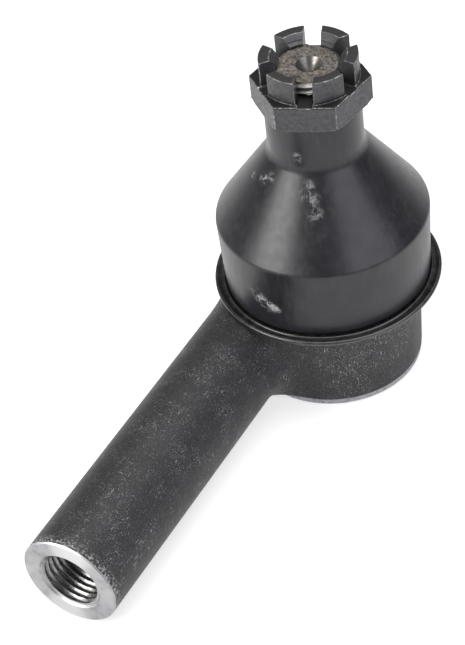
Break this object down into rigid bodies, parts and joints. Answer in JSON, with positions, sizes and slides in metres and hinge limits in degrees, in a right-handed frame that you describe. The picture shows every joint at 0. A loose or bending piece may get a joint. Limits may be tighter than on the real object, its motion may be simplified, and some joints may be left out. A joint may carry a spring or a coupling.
{
  "type": "tie rod end",
  "caption": "Outer steering tie rod end: ball stud in a forged socket with an offset, internally threaded shank, rubber dust boot and castle nut.",
  "frame": {"origin": "centre of the cover plate's flat outer face, on the ball stud's axis", "axes": "+Z along the ball stud towards the castle nut, -Y along the threaded shank away from the head, shank offset to -X"},
  "size_m": [0.043, 0.1017, 0.0697],
  "materials": {
    "forged_black_steel": "satin",
    "ring_black_steel": "satin",
    "phosphate_steel": "satin",
    "stud_steel": "satin",
    "spring_steel": "satin",
    "boot_rubber": "satin",
    "seat_plastic": "matte",
    "bush_plastic": "matte"
  },
  "bodies": {
    "head": {"housing": "forged_black_steel", "cover_plate": "phosphate_steel", "boot_base_ring": "ring_black_steel"},
    "socket_lining": {"upper_ball_seat": "seat_plastic", "lower_pressure_cup": "seat_plastic", "preload_spring": "spring_steel", "dust_boot": "boot_rubber"},
    "boot_neck": {"boot_neck_bush": "bush_plastic"},
    "stud": {"ball_stud": "stud_steel"},
    "nut": {"castle_nut": "phosphate_steel"}
  },
  "joints": [
    {"name": "swing_direction", "type": "hinge", "parent": "head", "child": "socket_lining", "pos_m": [0, 0, 0.0145], "axis": [0, 0, 1], "continuous": true},
    {"name": "stud_tilt", "type": "hinge", "parent": "socket_lining", "child": "boot_neck", "pos_m": [0, 0, 0.0145], "axis": [1, 0, 0], "range_deg": [-20, 20], "deforming": ["dust_boot"]},
    {"name": "stud_spin", "type": "hinge", "parent": "boot_neck", "child": "stud", "pos_m": [0, 0, 0.0145], "axis": [0, 0, 1], "continuous": true},
    {"name": "nut_unscrew", "type": "slide", "parent": "stud", "child": "nut", "axis": [0, 0, 1], "range_m": [0, 0.01]}
  ]
}
